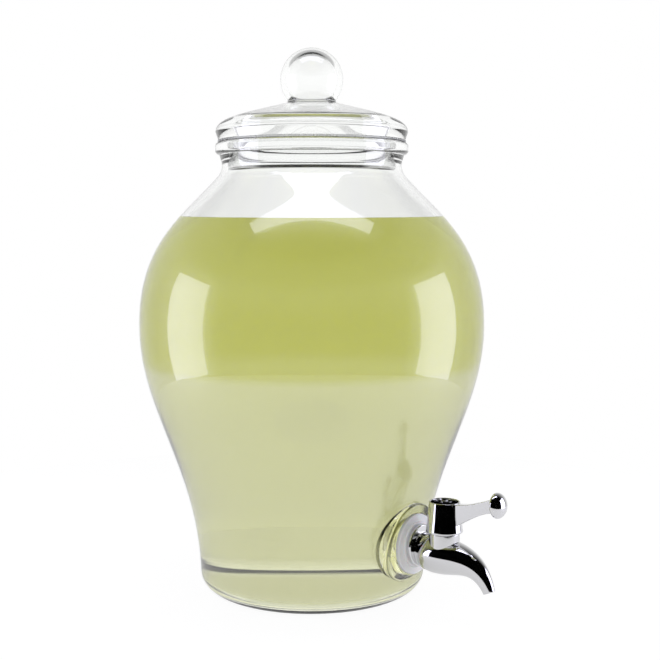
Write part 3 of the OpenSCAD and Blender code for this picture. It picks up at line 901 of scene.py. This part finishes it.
def plank(name, outline, thickness):
    """A flat piece on the tap's middle plane, cut to an outline, with rounded long edges."""
    shape = bmesh.new()
    sides = [[shape.verts.new(Vector((point.x, side * thickness / 2, point.y))) for point in outline]
             for side in (-1, 1)]
    shape.faces.new(sides[0])
    shape.faces.new(sides[1][::-1])
    for index in range(len(outline)):
        after = (index + 1) % len(outline)
        shape.faces.new([sides[0][index], sides[1][index], sides[1][after], sides[0][after]])
    bmesh.ops.transform(shape, matrix=Matrix.Scale(MM, 4) @ tap_side, verts=shape.verts)
    bmesh.ops.recalc_face_normals(shape, faces=shape.faces)
    piece = new_piece(name, shape)
    rounded(piece, lever_edge, segments=3, degrees=50)
    return piece


lever = plank("lever", lever_outline(), lever_t)
handle = gathered("chromed_handle", [hub, lever])
crisp(handle)

# The lever's two sides stay flat
for face in handle.data.polygons:
    face.use_smooth = len(face.vertices) <= 4
handle.data.materials.append(chrome)
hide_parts("tap_handle")
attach(handle, "lever")


# ---------------------------------------------------------------- Button
# A domed disc for the finger, chromed like the handle and set on the end of its lever. It leans a
# little back, towards the hub.
button_r = 7.5
button_t = 6.2
button_round = 1.2
button_rise = 0.64
button_spread = 0.55
button_tilt = math.radians(7)
at_button = (tap_side @ Matrix.Translation((button_x, 0, button_z))
             @ Matrix.Rotation(math.radians(90) - button_tilt, 4, "Y"))
button = turned("domed_button", [(0, 0), (button_r - button_round, 0)]
                + arc((button_r - button_round, button_round), button_round, -90, 0, steps=8)
                + curve([(button_r, button_round), (button_r, button_t * button_rise),
                         (button_r * button_spread, button_t), (0, button_t)], steps=20),
                at_button, sides=96)
crisp(button)
button.data.materials.append(chrome)
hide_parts("lever_button")
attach(button, "lever")


# ---------------------------------------------------------------- Clamp screw
# A steel screw with a low domed head and a cross for the screwdriver. It stands in the hub's cup,
# runs into the plug's stem and clamps the handle down on it.
screw_r = 2
screw_l = 9
screw_head_r = 3.6
screw_head_h = 2.4
screw_side_h = 0.8
screw_dome_in = 0.4
cross_l = 4.8
cross_w = 0.9
cross_depth = 1.2
screw_side_z = cup_z + screw_side_h
screw_top_z = cup_z + screw_head_h
screw = turned("clamp_screw", [(0, cup_z - screw_l), (screw_r, cup_z - screw_l), (screw_r, cup_z),
                               (screw_head_r, cup_z), (screw_head_r, screw_side_z)]
               + curve([(screw_head_r, screw_side_z), (screw_head_r - screw_dome_in, screw_top_z),
                        (screw_head_r / 2, screw_top_z), (0, screw_top_z)], steps=12),
               over_valve, sides=64)
for angle in (45, -45):
    cross = bmesh.new()
    bmesh.ops.create_cube(cross, size=1)
    bmesh.ops.transform(cross, matrix=Matrix.Scale(MM, 4) @ over_valve
                        @ Matrix.Translation((0, 0, screw_top_z))
                        @ Matrix.Rotation(math.radians(angle), 4, "Z")
                        @ Matrix.Diagonal((cross_l, cross_w, 2 * cross_depth, 1)), verts=cross.verts)
    shaped("DIFFERENCE", screw, new_piece("cross", cross))
crisp(screw)
screw.data.materials.append(steel)
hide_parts("handle_screw")
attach(screw, "lever")


# ---------------------------------------------------------------- Camera
# A long lens at the height of the liquid's surface, turned a little down and to the right.
sight_distance = 757
sight_turn = math.radians(-49)
sight_yaw = math.radians(0.8725)
sight_pitch = math.radians(5.33)
to_right = Vector((math.cos(sight_turn), math.sin(sight_turn), 0))
away = Vector((-math.sin(sight_turn), math.cos(sight_turn), 0))
camera = bpy.data.objects.new("camera", bpy.data.cameras.new("camera"))
bpy.context.scene.collection.objects.link(camera)
camera.data.sensor_width = 36
camera.data.lens = 64.36
camera.location = (-away * sight_distance + Vector((0, 0, fill_z))) * MM
forward = ((away * math.cos(sight_yaw) + to_right * math.sin(sight_yaw)) * math.cos(sight_pitch)
           - Vector((0, 0, math.sin(sight_pitch))))
camera.rotation_euler = forward.to_track_quat("-Z", "Y").to_euler()
bpy.context.scene.camera = camera


# ---------------------------------------------------------------- Studio
# A round pale table, two upright softboxes at the sides and a long panel overhead. A ray that has
# gone straight through the jar has crossed at least four faces, and doesn't see the lamps.
lamp_tint = (0.82, 0.81, 1.0)
faces_through = 4


def softbox(name, turn, height, width, tall, distance, strength):
    """A lamp at this turn from the camera's side, in degrees, that faces the jar."""
    angle = math.radians(turn)
    way = -away * math.cos(angle) + to_right * math.sin(angle)
    lamp = bpy.data.objects.new(name, bpy.data.lights.new(name, "AREA"))
    lamp.data.shape = "RECTANGLE"
    lamp.data.size = width * MM
    lamp.data.size_y = tall * MM
    lamp.data.color = lamp_tint
    lamp.data.energy = strength * math.pi * width * tall * MM * MM
    lamp.visible_camera = False
    lamp.data.use_nodes = True
    nodes, links = lamp.data.node_tree.nodes, lamp.data.node_tree.links
    path = nodes.new("ShaderNodeLightPath")
    near = nodes.new("ShaderNodeMath")
    near.operation = "LESS_THAN"
    near.inputs[1].default_value = faces_through
    links.new(path.outputs["Transmission Depth"], near.inputs[0])
    links.new(near.outputs["Value"], nodes["Emission"].inputs["Strength"])
    lamp.location = (way * distance + Vector((0, 0, height))) * MM
    lamp.rotation_euler = (-way).to_track_quat("-Z", "Y").to_euler()
    bpy.context.scene.collection.objects.link(lamp)
    return lamp


for name, turn in (("left_softbox", -86), ("right_softbox", 86)):
    softbox(name, turn, height=170, width=574, tall=790, distance=1000, strength=3.0)
panel = softbox("top_panel", 0, height=1300, width=1240, tall=215, distance=137, strength=3.6)
panel.rotation_euler = (0, 0, sight_turn)

table_r = 450
table_low_z = -4
table_top_z = -0.3
table = turned("table", [(0, table_low_z), (table_r, table_low_z), (table_r, table_top_z),
                         (0, table_top_z)], sides=128)
table_top = bpy.data.materials.new("table_top")
table_top.use_nodes = True
nodes, links = table_top.node_tree.nodes, table_top.node_tree.links
shader = nodes["Principled BSDF"]
shader.inputs["Base Color"].default_value = (0.86, 0.86, 0.86, 1)
shader.inputs["Roughness"].default_value = 0.7
rays = nodes.new("ShaderNodeLightPath")
glow = nodes.new("ShaderNodeEmission")
glow.inputs["Strength"].default_value = 1.05
seen = nodes.new("ShaderNodeMixShader")
glow_shares = {"Is Camera Ray": 0.9, "Is Glossy Ray": 0.5, "Is Transmission Ray": 0.4}
share = seen.inputs["Fac"]
for ray, amount in glow_shares.items():
    part = nodes.new("ShaderNodeMath")
    part.operation = "MULTIPLY_ADD"
    part.inputs[1].default_value = amount
    part.inputs[2].default_value = 0
    links.new(rays.outputs[ray], part.inputs[0])
    links.new(part.outputs["Value"], share)
    share = part.inputs[2]
links.new(shader.outputs["BSDF"], seen.inputs[1])
links.new(glow.outputs["Emission"], seen.inputs[2])
links.new(seen.outputs["Shader"], nodes["Material Output"].inputs["Surface"])
table.data.materials.append(table_top)

# The sky is plain white to the camera. Through glass it darkens upwards, reflections see it bright
# beyond the jar and dark on the near side, and all else gets an even grey.
world = bpy.data.worlds.new("studio")
bpy.context.scene.world = world
world.use_nodes = True
nodes, links = world.node_tree.nodes, world.node_tree.links
background = nodes["Background"]
background.inputs["Strength"].default_value = 1.0
rays = nodes.new("ShaderNodeLightPath")
direction = nodes.new("ShaderNodeTexCoord")
split = nodes.new("ShaderNodeSeparateXYZ")
links.new(direction.outputs["Generated"], split.inputs["Vector"])
beyond = nodes.new("ShaderNodeVectorMath")
beyond.operation = "DOT_PRODUCT"
beyond.inputs[1].default_value = away
links.new(direction.outputs["Generated"], beyond.inputs[0])


def ramped(value, span, levels=(0.0, 1.0)):
    """Goes from one level to another while the value goes over this span."""
    node = nodes.new("ShaderNodeMapRange")
    for socket, number in zip(("From Min", "From Max", "To Min", "To Max"), span + levels):
        node.inputs[socket].default_value = number
    links.new(value, node.inputs["Value"])
    return node.outputs["Result"]


def product(first, second):
    """One value times another."""
    node = nodes.new("ShaderNodeMath")
    node.operation = "MULTIPLY"
    links.new(first, node.inputs[0])
    links.new(second, node.inputs[1])
    return node.outputs["Value"]


def choose(ray, otherwise, wanted):
    """The wanted value for this kind of ray, and otherwise the other."""
    node = nodes.new("ShaderNodeMix")
    links.new(rays.outputs[ray], node.inputs["Factor"])
    for socket, value in (("A", otherwise), ("B", wanted)):
        if isinstance(value, float):
            node.inputs[socket].default_value = value
        else:
            links.new(value, node.inputs[socket])
    return node.outputs["Result"]


fill_light = 0.6
reflected_side = (0.05, 0.78)
reflected_rise = (0.05, 0.75)
reflected_levels = (0.92, 0.5)
through_side = (0.0, 0.25)
through_levels = (0.8, 1.0)
through_rise = {0.42: 1.06, 0.5: 0.6, 0.72: 0.45, 0.8: 0.0}
reflected = product(ramped(beyond.outputs["Value"], reflected_side),
                    ramped(split.outputs["Z"], reflected_rise, reflected_levels))
darkening = nodes.new("ShaderNodeValToRGB")
set_stops(darkening, {rise: (level, level, level, 1) for rise, level in through_rise.items()})
links.new(split.outputs["Z"], darkening.inputs["Fac"])
seen_through = product(ramped(beyond.outputs["Value"], through_side, through_levels),
                       darkening.outputs["Color"])
colour = choose("Is Glossy Ray", fill_light, reflected)
colour = choose("Is Transmission Ray", colour, seen_through)
colour = choose("Is Camera Ray", colour, 1.0)
links.new(colour, background.inputs["Color"])

scene = bpy.context.scene
scene.view_settings.view_transform = "Standard"
